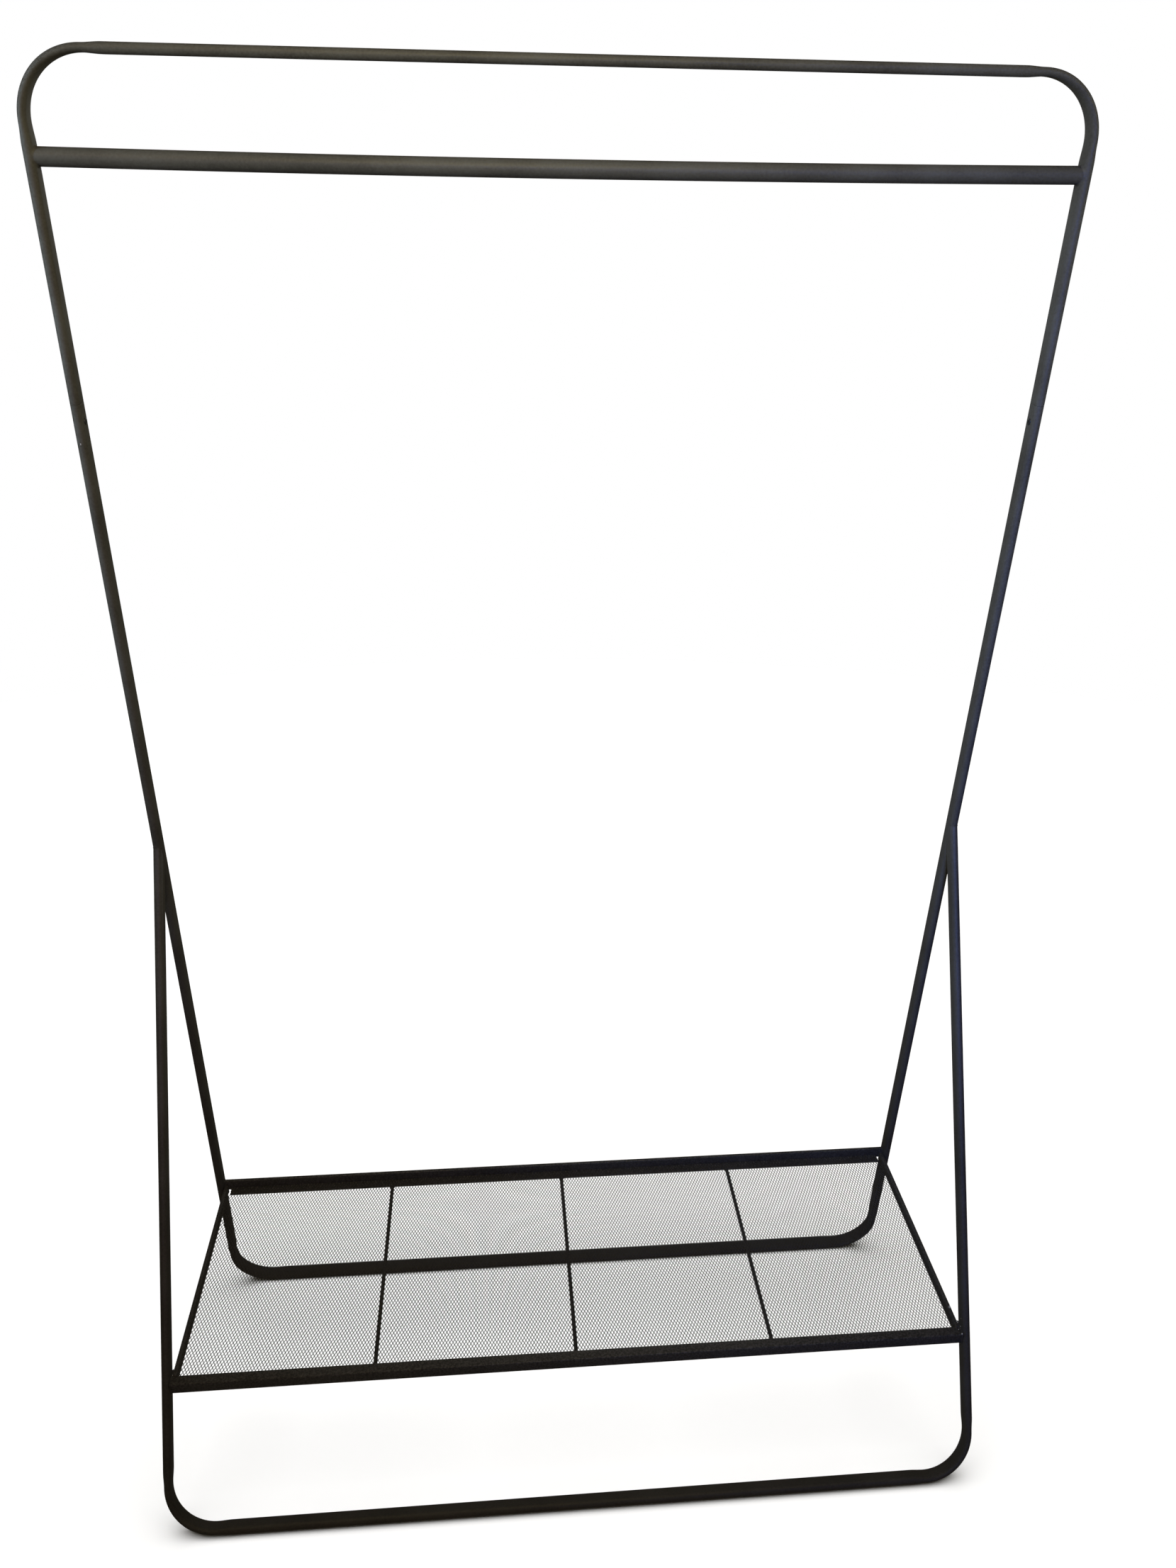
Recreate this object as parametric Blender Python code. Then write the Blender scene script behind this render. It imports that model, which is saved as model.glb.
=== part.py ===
"""Free-standing garment rail with a low mesh shelf.

The frame is made of flat-oval steel tube in two loops that cross like an easel: a tall
loop that leans forward, and a short front loop that leans back and is coped against the
front of the tall one. The tall loop comes apart above the middle, where a solid spigot
and a screw in each upright hold its two halves together. A round rail hangs between the
uprights, and a sloping shelf of expanded metal sits in an angle-and-bar frame between
the legs. +X is to the right, +Y to the rear, +Z up; the origin is on the floor, in the
middle of the footprint.
"""

import math

import bmesh
import bpy
from mathutils import Vector

# ---------------------------------------------------------------- driving dimensions (m)
WIDTH = 1.000  # outside width of both loops
TUBE_THIN = 0.010  # flat-oval tube, across its flats (in the plane of a loop)
TUBE_WIDE = 0.020  # flat-oval tube, the wide way (square to the plane of a loop)
TUBE_WALL = 0.0012
GAP = 0.0003  # air between two pieces that touch

REAR_LEAN = math.radians(11.485)  # tall loop, forward from upright
FRONT_LEAN = math.radians(17.87)  # short loop, backward from upright
FLOOR_SPREAD = 0.4127  # between the axes of the two floor runs
LOOP_LENGTH = 1.6450  # along the lean, floor run's axis to top run's axis
TOP_BEND_R = 0.060  # centre line
FLOOR_BEND_R = 0.056
BEND_SQUEEZE = 0.80  # the tube is drawn thinner round a bend
SQUEEZE_RUN = 0.004  # length over which it thins

SEAM_AT = 1.3360  # along the lean, where the upper hoop meets the lower loop
SPIGOT_LENGTH = 0.080
SCREW_BELOW_SEAM = 0.0185
SCREW_SHANK_R = 0.0020
SCREW_HOLE_R = 0.0023
SCREW_HEAD_R = 0.0036
SCREW_HEAD_H = 0.0014
SCREW_SHANK_L = 0.0068

RAIL_AT = 0.947 * LOOP_LENGTH  # along the lean
RAIL_R = 0.0085
RAIL_WALL = 0.0012
RAIL_BOW = 0.0027  # the loaded rail has a slight set, downward

SHELF_SLOPE = math.atan(0.078)  # rises to the rear
SHELF_EDGE_Y = 0.0464  # front top edge, behind the front floor run's axis
SHELF_EDGE_Z = 0.1801
SHELF_REAR = 0.3286  # front edge to the back rail's rear face, along the slope
ANGLE_DEEP = 0.0125  # front rail: leg that points back
ANGLE_TALL = 0.0143  # front rail: leg that points down
ANGLE_T = 0.0028
BACK_T = 0.0050  # back rail: upstand
BACK_UP = 0.0071
BACK_DOWN = 0.0071
BACK_FLANGE = 0.0128  # in front of the upstand
BACK_FLANGE_T = 0.0025
BACK_FLANGE_X = 0.4798  # the flange stops short of the side rails
SIDE_T = 0.0048
SIDE_TALL = 0.0140
MESH_TOP = -0.0033
MESH_T = 0.0006
CROSS_R = 0.0025
CROSS_X = (-0.2475, 0.0, 0.2475)

BLACK = (0.045, 0.045, 0.042, 1.0)

# ---------------------------------------------------------------- derived positions
HALF_THIN = TUBE_THIN / 2
FLAT = (TUBE_WIDE - TUBE_THIN) / 2  # half the flat of the section
AXIS_X = WIDTH / 2 - HALF_THIN
INNER_X = AXIS_X - HALF_THIN

# The angles of a section's arc start at the flat that faces out of its loop. One chord
# lies level on the floor when the loop leans, and so each floor run stands on a real face.
REAR_CHORD = REAR_LEAN  # half angle
FRONT_CHORD = math.radians(9.0)


def arc_angles(lean, half_chord, steps):
    first = [0.0] if lean - half_chord < 1e-9 else [0.0, lean - half_chord]
    end = lean + half_chord
    rest = [end + (math.pi - end) * k / steps for k in range(steps + 1)]
    return first + rest


REAR_ARC = arc_angles(REAR_LEAN, REAR_CHORD, 8)
FRONT_ARC = arc_angles(FRONT_LEAN, FRONT_CHORD, 8)

REAR_AXIS_Z = FLAT * math.sin(REAR_LEAN) + HALF_THIN * math.cos(REAR_CHORD)
FRONT_AXIS_Z = FLAT * math.sin(FRONT_LEAN) + HALF_THIN * math.cos(FRONT_CHORD)
FRONT_REACH = FLAT * math.cos(FRONT_LEAN) + HALF_THIN
REAR_REACH = FLAT * math.cos(REAR_LEAN) + HALF_THIN
FRONT_AXIS_Y = (FRONT_REACH - REAR_REACH - FLOOR_SPREAD) / 2
REAR_AXIS_Y = FRONT_AXIS_Y + FLOOR_SPREAD

X = Vector((1, 0, 0))
REAR_O = Vector((0, REAR_AXIS_Y, REAR_AXIS_Z))
REAR_U = Vector((0, -math.sin(REAR_LEAN), math.cos(REAR_LEAN)))
REAR_N = Vector((0, math.cos(REAR_LEAN), math.sin(REAR_LEAN)))
FRONT_O = Vector((0, FRONT_AXIS_Y, FRONT_AXIS_Z))
FRONT_U = Vector((0, math.sin(FRONT_LEAN), math.cos(FRONT_LEAN)))
FRONT_N = Vector((0, math.cos(FRONT_LEAN), -math.sin(FRONT_LEAN)))

# Where the front loop's axis plane meets the tall loop's, measured along the front loop.
_between = REAR_O - FRONT_O
FRONT_LENGTH = (_between.y * REAR_U.z - _between.z * REAR_U.y) / (
    FRONT_U.y * REAR_U.z - FRONT_U.z * REAR_U.y
)

SHELF_O = Vector((0, FRONT_AXIS_Y + SHELF_EDGE_Y, SHELF_EDGE_Z))
SHELF_V = Vector((0, math.cos(SHELF_SLOPE), math.sin(SHELF_SLOPE)))
SHELF_W = Vector((0, -math.sin(SHELF_SLOPE), math.cos(SHELF_SLOPE)))


# ---------------------------------------------------------------- scene and materials
for old in list(bpy.data.objects):
    bpy.data.objects.remove(old, do_unlink=True)


def material(name, colour, roughness, metallic):
    made = bpy.data.materials.new(name)
    made.use_nodes = True
    shader = made.node_tree.nodes["Principled BSDF"]
    shader.inputs["Base Color"].default_value = colour
    shader.inputs["Roughness"].default_value = roughness
    shader.inputs["Metallic"].default_value = metallic
    made.diffuse_color = colour
    return made


root = bpy.data.objects.new("garment_rail", None)
bpy.context.scene.collection.objects.link(root)


def finish(name, bm, colour=BLACK, roughness=0.45, metallic=0.0, helper=False, smooth=True):
    """Turns a bmesh into an object with its own material; a helper is only a cutter."""
    bmesh.ops.remove_doubles(bm, verts=bm.verts, dist=1e-7)
    bmesh.ops.recalc_face_normals(bm, faces=bm.faces)
    mesh = bpy.data.meshes.new(name)
    bm.to_mesh(mesh)
    bm.free()
    if smooth:
        mesh.shade_smooth()
        mesh.set_sharp_from_angle(angle=math.radians(35))
    made = bpy.data.objects.new(name, mesh)
    bpy.context.scene.collection.objects.link(made)
    if helper:
        made.hide_render = True
        made.display_type = "WIRE"
    else:
        mesh.materials.append(material(name + "_coat", colour, roughness, metallic))
        made.parent = root
    return made


def cut(target, cutter, name):
    modifier = target.modifiers.new(name, "BOOLEAN")
    modifier.operation = "DIFFERENCE"
    modifier.solver = "EXACT"
    modifier.object = cutter


# ---------------------------------------------------------------- shape helpers
def oval(radius, flat, angles):
    """Flat-oval outline as (out, across) points: out leaves the loop, across is square to it."""
    right = [(radius * math.cos(a), flat + radius * math.sin(a)) for a in angles]
    left = [(radius * math.cos(a), -flat - radius * math.sin(a)) for a in reversed(angles)]
    return right + left


def circle(radius, count):
    turn = [2 * math.pi * (k + 0.5) / count for k in range(count)]
    return [(radius * math.cos(a), radius * math.sin(a)) for a in turn]


def skin(bm, rings):
    """Joins neighbouring rings of vertices with quads."""
    for one, two in zip(rings, rings[1:]):
        for k in range(len(one)):
            j = (k + 1) % len(one)
            bm.faces.new((one[k], one[j], two[j], two[k]))


def sweep(stations, outer, inner=None):
    """A tube along stations of (place, out axis, across axis, squeeze); open if it has an inner outline."""
    bm = bmesh.new()

    def rings(outline, shrink=0.0):
        made = []
        for place, out, across, squeeze in stations:
            ring = []
            for p, q in outline:
                ring.append(bm.verts.new(place + out * (p * squeeze) + across * q))
            made.append(ring)
        return made

    outside = rings(outer)
    skin(bm, outside)
    if inner is None:
        bm.faces.new(outside[0])
        bm.faces.new(outside[-1])
    else:
        inside = rings(inner)
        skin(bm, inside)
        for a, b in ((outside[0], inside[0]), (outside[-1], inside[-1])):
            for k in range(len(a)):
                j = (k + 1) % len(a)
                bm.faces.new((a[k], a[j], b[j], b[k]))
    return bm


def bend(centre_x, centre_s, radius, start, end, steps):
    """(x, s, out x, out s, squeeze) round a bend, with the tube thinning just inside each end."""
    ease = SQUEEZE_RUN / radius
    turn = end - start
    sign = 1 if turn > 0 else -1
    marks = [start, start + sign * ease]
    inside = abs(turn) - 2 * ease
    marks += [start + sign * (ease + inside * k / steps) for k in range(1, steps)]
    marks += [end - sign * ease, end]
    made = []
    for k, a in enumerate(marks):
        squeeze = 1.0 if k in (0, len(marks) - 1) else BEND_SQUEEZE
        c, s = math.cos(a), math.sin(a)
        made.append((centre_x + radius * c, centre_s + radius * s, c, s, squeeze))
    return made


def on_loop(origin, up, across, points):
    return [
        (origin + X * x + up * s, X * ox + up * os, across, squeeze)
        for x, s, ox, os, squeeze in points
    ]


def prism(corners, low_x, high_x):
    """Extrudes a (v, w) outline in the shelf's sloping frame from low_x to high_x."""
    bm = bmesh.new()
    ends = []
    for x in (low_x, high_x):
        ends.append(
            [bm.verts.new(SHELF_O + X * x + SHELF_V * v + SHELF_W * w) for v, w in corners]
        )
    skin(bm, ends)
    bm.faces.new(ends[0])
    bm.faces.new(ends[1])
    return bm


def plate(corners, low_w, high_w):
    """Extrudes an (x, v) outline square to the shelf's slope."""
    bm = bmesh.new()
    ends = []
    for w in (low_w, high_w):
        ends.append(
            [bm.verts.new(SHELF_O + X * x + SHELF_V * v + SHELF_W * w) for x, v in corners]
        )
    skin(bm, ends)
    bm.faces.new(ends[0])
    bm.faces.new(ends[1])
    return bm


def ease_edges(bm, width, angle=math.radians(60)):
    """A small round on the long sharp edges of a rolled bar."""
    bmesh.ops.recalc_face_normals(bm, faces=bm.faces)
    sharp = [
        e
        for e in bm.edges
        if len(e.link_faces) == 2 and e.calc_face_angle(0.0) > angle and e.calc_length() > 0.05
    ]
    bmesh.ops.bevel(bm, geom=sharp, offset=width, segments=2, profile=0.5, affect="EDGES")


def stretch(start, end, out, across, outline):
    return sweep([(start, out, across, 1.0), (end, out, across, 1.0)], outline)


# ---------------------------------------------------------------- frame tubes
rear_outer = oval(HALF_THIN, FLAT, REAR_ARC)
rear_inner = oval(HALF_THIN - TUBE_WALL, FLAT, REAR_ARC)
front_outer = oval(HALF_THIN, FLAT, FRONT_ARC)
front_inner = oval(HALF_THIN - TUBE_WALL, FLAT, FRONT_ARC)

HALF_TURN = math.pi
QUARTER = math.pi / 2

# Upper hoop: up the left side, over the top, down the right side; both ends open.
top_x = AXIS_X - TOP_BEND_R
top_s = LOOP_LENGTH - TOP_BEND_R
hoop_points = [(-AXIS_X, SEAM_AT + GAP, -1, 0, 1.0)]
hoop_points += bend(-top_x, top_s, TOP_BEND_R, HALF_TURN, QUARTER, 8)
hoop_points += bend(top_x, top_s, TOP_BEND_R, QUARTER, 0.0, 8)
hoop_points += [(AXIS_X, SEAM_AT + GAP, 1, 0, 1.0)]
finish(
    "upper_hoop",
    sweep(on_loop(REAR_O, REAR_U, REAR_N, hoop_points), rear_outer, rear_inner),
    roughness=0.42,
)

# Lower rear loop: down the left upright, along the floor, up the right upright.
low_x = AXIS_X - FLOOR_BEND_R
loop_points = [(-AXIS_X, SEAM_AT, -1, 0, 1.0)]
loop_points += bend(-low_x, FLOOR_BEND_R, FLOOR_BEND_R, HALF_TURN, 3 * QUARTER, 8)
loop_points += bend(low_x, FLOOR_BEND_R, FLOOR_BEND_R, -QUARTER, 0.0, 8)
loop_points += [(AXIS_X, SEAM_AT, 1, 0, 1.0)]
lower_loop = finish(
    "lower_rear_loop",
    sweep(on_loop(REAR_O, REAR_U, REAR_N, loop_points), rear_outer, rear_inner),
    roughness=0.42,
)

# Front leg frame: both upper ends run into the uprights and are coped to them below.
leg_points = [(-AXIS_X, FRONT_LENGTH, -1, 0, 1.0)]
leg_points += bend(-low_x, FLOOR_BEND_R, FLOOR_BEND_R, HALF_TURN, 3 * QUARTER, 8)
leg_points += bend(low_x, FLOOR_BEND_R, FLOOR_BEND_R, -QUARTER, 0.0, 8)
leg_points += [(AXIS_X, FRONT_LENGTH, 1, 0, 1.0)]
front_frame = finish(
    "front_leg_frame",
    sweep(on_loop(FRONT_O, FRONT_U, FRONT_N, leg_points), front_outer, front_inner),
    roughness=0.42,
)

# Hanging rail: round tube between the uprights, a little bowed.
rail_points = []
RAIL_STEPS = 12
for k in range(RAIL_STEPS + 1):
    t = 2 * k / RAIL_STEPS - 1
    place = REAR_O + REAR_U * RAIL_AT + X * (AXIS_X * t)
    place = place - Vector((0, 0, RAIL_BOW * (1 - t * t)))
    rail_points.append((place, Vector((0, 0, 1)), Vector((0, 1, 0)), 1.0))
hanging_rail = finish(
    "hanging_rail",
    sweep(rail_points, circle(RAIL_R, 20), circle(RAIL_R - RAIL_WALL, 20)),
    roughness=0.38,
)

# The outline of each upright with a hair of air round it copes the rail and the legs.
AIR = GAP * 1.03
cope_outline = oval(HALF_THIN + AIR, FLAT, REAR_ARC)
for side, sign in (("left", -1), ("right", 1)):
    low = REAR_O + X * (sign * AXIS_X) + REAR_U * 0.70
    high = REAR_O + X * (sign * AXIS_X) + REAR_U * 1.59
    cutter = finish(
        "cope_cutter_" + side,
        stretch(low, high, X * sign, REAR_N, cope_outline),
        helper=True,
    )
    cut(front_frame, cutter, "cope_" + side)
    cut(hanging_rail, cutter, "cope_" + side)

# ---------------------------------------------------------------- joints in the uprights
spigot_outline = oval(HALF_THIN - TUBE_WALL - GAP, FLAT, REAR_ARC)


def cylinder_along_x(start, length, sign, radius, count):
    a = [(start, REAR_U, REAR_N, 1.0), (start + X * (sign * length), REAR_U, REAR_N, 1.0)]
    return sweep(a, circle(radius, count))


for side, sign in (("left", -1), ("right", 1)):
    centre = REAR_O + X * (sign * AXIS_X) + REAR_U * SEAM_AT
    half = REAR_U * (SPIGOT_LENGTH / 2)
    spigot = finish(
        "joint_spigot_" + side,
        stretch(centre - half, centre + half, X * sign, REAR_N, spigot_outline),
        colour=(0.35, 0.35, 0.36, 1.0),
        roughness=0.4,
        metallic=0.9,
    )
    # Screw from the inner side face of the lower tube into the spigot.
    seat = REAR_O + X * (sign * (INNER_X - GAP)) + REAR_U * (SEAM_AT - SCREW_BELOW_SEAM)
    hole = finish(
        "screw_cutter_" + side,
        cylinder_along_x(seat - X * (sign * 0.002), 0.0105, sign, SCREW_HOLE_R, 16),
        helper=True,
    )
    cut(lower_loop, hole, "screw_hole_" + side)
    cut(spigot, hole, "screw_hole")
    # Pan head with a rounded crown, then the shank.
    profile = [(SCREW_SHANK_L, 0.0), (SCREW_SHANK_L, SCREW_SHANK_R * 0.75)]
    profile += [(SCREW_SHANK_L - 0.0006, SCREW_SHANK_R), (0.0, SCREW_SHANK_R)]
    profile += [(0.0, SCREW_HEAD_R), (-0.0007, SCREW_HEAD_R)]
    for k in range(1, 4):
        a = QUARTER * k / 4
        profile.append(
            (-0.0007 - (SCREW_HEAD_H - 0.0007) * math.sin(a), SCREW_HEAD_R * math.cos(a) ** 0.7)
        )
    profile.append((-SCREW_HEAD_H, 0.0))
    bm = bmesh.new()
    axis = X * sign
    count = 20
    rings = []
    for along, radius in profile:
        if radius == 0.0:
            rings.append([bm.verts.new(seat + axis * along)])
            continue
        rings.append(
            [
                bm.verts.new(seat + axis * along + REAR_U * p + REAR_N * q)
                for p, q in circle(radius, count)
            ]
        )
    for one, two in zip(rings, rings[1:]):
        for k in range(count):
            j = (k + 1) % count
            if len(one) == 1:
                bm.faces.new((one[0], two[j], two[k]))
            elif len(two) == 1:
                bm.faces.new((one[k], one[j], two[0]))
            else:
                bm.faces.new((one[k], one[j], two[j], two[k]))
    finish(
        "joint_screw_" + side,
        bm,
        colour=(0.06, 0.06, 0.06, 1.0),
        roughness=0.35,
        metallic=0.6,
    )

# ---------------------------------------------------------------- shelf
rail_x = INNER_X - GAP  # the rails stop at the legs' inner faces
side_in = rail_x - SIDE_T  # inner face of a side rail

front_angle = [
    (0.0, 0.0),
    (ANGLE_DEEP, 0.0),
    (ANGLE_DEEP, -ANGLE_T),
    (ANGLE_T, -ANGLE_T),
    (ANGLE_T, -ANGLE_TALL),
    (0.0, -ANGLE_TALL),
]
bm = prism(front_angle, -rail_x, rail_x)
ease_edges(bm, 0.0008)
finish("shelf_front_rail", bm)

# Back rail: an upstand between the uprights, with a flange forward under the mesh.
back_face = SHELF_REAR - BACK_T
flange_v = back_face - BACK_FLANGE
back_angle = [
    (back_face, BACK_UP),
    (SHELF_REAR, BACK_UP),
    (SHELF_REAR, -BACK_DOWN),
    (flange_v, -BACK_DOWN),
    (flange_v, -BACK_DOWN + BACK_FLANGE_T),
    (back_face, -BACK_DOWN + BACK_FLANGE_T),
]
bm = prism(back_angle, -rail_x, rail_x)
ease_edges(bm, 0.0007)
back_rail = finish("shelf_back_rail", bm)
for side, sign in (("left", -1), ("right", 1)):
    # The flange is sheared off square, which leaves a notch at each rear corner.
    ends = sorted((sign * BACK_FLANGE_X, sign * (rail_x + 0.01)))
    notch = [
        (flange_v - 0.01, -BACK_DOWN - 0.01),
        (back_face, -BACK_DOWN - 0.01),
        (back_face, BACK_UP - 0.004),
        (flange_v - 0.01, BACK_UP - 0.004),
    ]
    shear = finish("notch_cutter_" + side, prism(notch, *ends), helper=True, smooth=False)
    cut(back_rail, shear, "notch_" + side)

for side, sign in (("left", -1), ("right", 1)):
    bar = [
        (ANGLE_DEEP + GAP, 0.0),
        (back_face - GAP, 0.0),
        (back_face - GAP, -SIDE_TALL),
        (ANGLE_DEEP + GAP, -SIDE_TALL),
    ]
    ends = sorted((sign * side_in, sign * rail_x))
    bm = prism(bar, *ends)
    ease_edges(bm, 0.0007)
    finish("shelf_side_rail_" + side, bm)

# Mesh: a thin panel whose rear corners are cut away beside the flange's ends.
mesh_x = side_in - GAP
mesh_front = ANGLE_T + 0.0015
mesh_rear = back_face - GAP
panel = [
    (-mesh_x, mesh_front),
    (mesh_x, mesh_front),
    (mesh_x, flange_v),
    (BACK_FLANGE_X, flange_v),
    (BACK_FLANGE_X, mesh_rear),
    (-BACK_FLANGE_X, mesh_rear),
    (-BACK_FLANGE_X, flange_v),
    (-mesh_x, flange_v),
]
finish("shelf_mesh", plate(panel, MESH_TOP - MESH_T, MESH_TOP), smooth=False)

cross_w = MESH_TOP - MESH_T - GAP - CROSS_R
for side, x in zip(("left", "centre", "right"), CROSS_X):
    start = SHELF_O + X * x + SHELF_V * (ANGLE_T + GAP) + SHELF_W * cross_w
    end = SHELF_O + X * x + SHELF_V * (flange_v - GAP) + SHELF_W * cross_w
    finish("shelf_cross_bar_" + side, stretch(start, end, X, SHELF_W, circle(CROSS_R, 14)))
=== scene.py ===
"""Looks of the garment rail: smooth flat-oval tube, expanded-metal shelf, weld beads, screws,
and satin powder coat. Every piece stands where its CAD node stands."""

import math
import random

import bpy
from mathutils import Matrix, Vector, noise


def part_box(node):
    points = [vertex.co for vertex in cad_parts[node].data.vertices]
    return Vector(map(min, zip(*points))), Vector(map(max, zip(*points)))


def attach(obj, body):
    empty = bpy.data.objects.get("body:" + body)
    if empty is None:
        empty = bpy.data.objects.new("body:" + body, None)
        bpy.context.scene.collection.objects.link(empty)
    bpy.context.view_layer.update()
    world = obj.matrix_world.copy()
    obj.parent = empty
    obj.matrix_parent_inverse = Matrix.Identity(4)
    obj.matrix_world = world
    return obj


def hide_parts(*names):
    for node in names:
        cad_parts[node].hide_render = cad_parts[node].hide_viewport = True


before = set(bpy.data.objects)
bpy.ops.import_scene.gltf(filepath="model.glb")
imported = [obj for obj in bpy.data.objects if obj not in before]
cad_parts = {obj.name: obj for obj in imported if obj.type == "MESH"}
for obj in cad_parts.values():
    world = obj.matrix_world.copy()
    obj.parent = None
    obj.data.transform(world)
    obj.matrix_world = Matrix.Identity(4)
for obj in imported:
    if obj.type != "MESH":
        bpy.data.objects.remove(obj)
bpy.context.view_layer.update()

random.seed(7)

# ------------------------------------------------------------------ sizes (metres)
# The same driving sizes as the CAD, tied to its box where the box gives them.
HALF_W = (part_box("upper_hoop")[1][0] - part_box("upper_hoop")[0][0]) / 2
THIN_R = 0.005
FLAT = 0.005
REAR_LEAN = math.radians(11.485)
FRONT_LEAN = math.radians(17.87)
FLOOR_SPREAD = 0.4127
LOOP_LENGTH = 1.6450
TOP_BEND_R = 0.060
FLOOR_BEND_R = 0.056
SQUEEZE = 0.80
EASE = 0.018
SEAM_AT = 1.3360
SCREW_BELOW = 0.0185
RAIL_AT = 0.947 * LOOP_LENGTH
RAIL_R = 0.0085
RAIL_BOW = 0.0027
SHELF_SLOPE = math.atan(0.078)
SHELF_EDGE_Y = 0.0464
SHELF_EDGE_Z = 0.1801
SHELF_REAR = 0.3286
ANGLE_DEEP, ANGLE_TALL, ANGLE_T = 0.0125, 0.0143, 0.0028
BACK_T, BACK_UP, BACK_DOWN = 0.0050, 0.0071, 0.0071
BACK_FLANGE, BACK_FLANGE_T, BACK_FLANGE_X = 0.0128, 0.0025, 0.4798
SIDE_T, SIDE_TALL = 0.0048, 0.0140
MESH_TOP = -0.0033
CROSS_R = 0.0025
CROSS_X = (-0.2475, 0.0, 0.2475)
MESH_SHORT = 0.00405  # diamond, across the shelf
MESH_LONG = 0.00763  # diamond, front to back

AXIS_X = HALF_W - THIN_R
INNER_X = AXIS_X - THIN_R
REAR_AXIS_Z = FLAT * math.sin(REAR_LEAN) + THIN_R * math.cos(REAR_LEAN)
FRONT_AXIS_Z = FLAT * math.sin(FRONT_LEAN) + THIN_R * math.cos(math.radians(9.0))
FRONT_AXIS_Y = FLAT * (math.cos(FRONT_LEAN) - math.cos(REAR_LEAN)) / 2 - FLOOR_SPREAD / 2
REAR_AXIS_Y = FRONT_AXIS_Y + FLOOR_SPREAD

X = Vector((1, 0, 0))
REAR_O = Vector((0, REAR_AXIS_Y, REAR_AXIS_Z))
REAR_U = Vector((0, -math.sin(REAR_LEAN), math.cos(REAR_LEAN)))
REAR_N = Vector((0, math.cos(REAR_LEAN), math.sin(REAR_LEAN)))
FRONT_O = Vector((0, FRONT_AXIS_Y, FRONT_AXIS_Z))
FRONT_U = Vector((0, math.sin(FRONT_LEAN), math.cos(FRONT_LEAN)))
FRONT_N = Vector((0, math.cos(FRONT_LEAN), -math.sin(FRONT_LEAN)))
SHELF_O = Vector((0, FRONT_AXIS_Y + SHELF_EDGE_Y, SHELF_EDGE_Z))
SHELF_V = Vector((0, math.cos(SHELF_SLOPE), math.sin(SHELF_SLOPE)))
SHELF_W = Vector((0, -math.sin(SHELF_SLOPE), math.cos(SHELF_SLOPE)))

# The pieces below follow these sizes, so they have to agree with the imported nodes.
for node, corner, axis, value in (
    ("upper_hoop", 1, 2, REAR_O.z + LOOP_LENGTH * REAR_U.z + FLAT * REAR_N.z + THIN_R),
    ("front_leg_frame", 0, 1, FRONT_AXIS_Y - FLAT * FRONT_N.y - THIN_R),
    ("shelf_side_rail_right", 1, 0, INNER_X - 0.0003),
):
    if abs(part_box(node)[corner][axis] - value) > 0.001:
        raise ValueError("the sizes in scene.py no longer match the node " + node)


# ------------------------------------------------------------------ materials
def shader(name):
    made = bpy.data.materials.new(name)
    made.use_nodes = True
    tree = made.node_tree
    return made, tree, tree.nodes["Principled BSDF"]


def noise_node(tree, vector, scale, detail, roughness=0.5):
    n = tree.nodes.new("ShaderNodeTexNoise")
    n.inputs["Scale"].default_value = scale
    n.inputs["Detail"].default_value = detail
    n.inputs["Roughness"].default_value = roughness
    tree.links.new(vector, n.inputs["Vector"])
    return n


def ramp(tree, source, stops):
    r = tree.nodes.new("ShaderNodeValToRGB")
    r.color_ramp.elements[0].position, r.color_ramp.elements[0].color = stops[0]
    r.color_ramp.elements[1].position, r.color_ramp.elements[1].color = stops[-1]
    for position, colour in stops[1:-1]:
        r.color_ramp.elements.new(position).color = colour
    tree.links.new(source, r.inputs["Fac"])
    return r


def spread(tree, source, low, high):
    m = tree.nodes.new("ShaderNodeMapRange")
    m.inputs["To Min"].default_value = low
    m.inputs["To Max"].default_value = high
    tree.links.new(source, m.inputs["Value"])
    return m


def grey(v, warm=0.0):
    return (v * (1 + warm), v, v * (1 - warm), 1.0)


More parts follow.
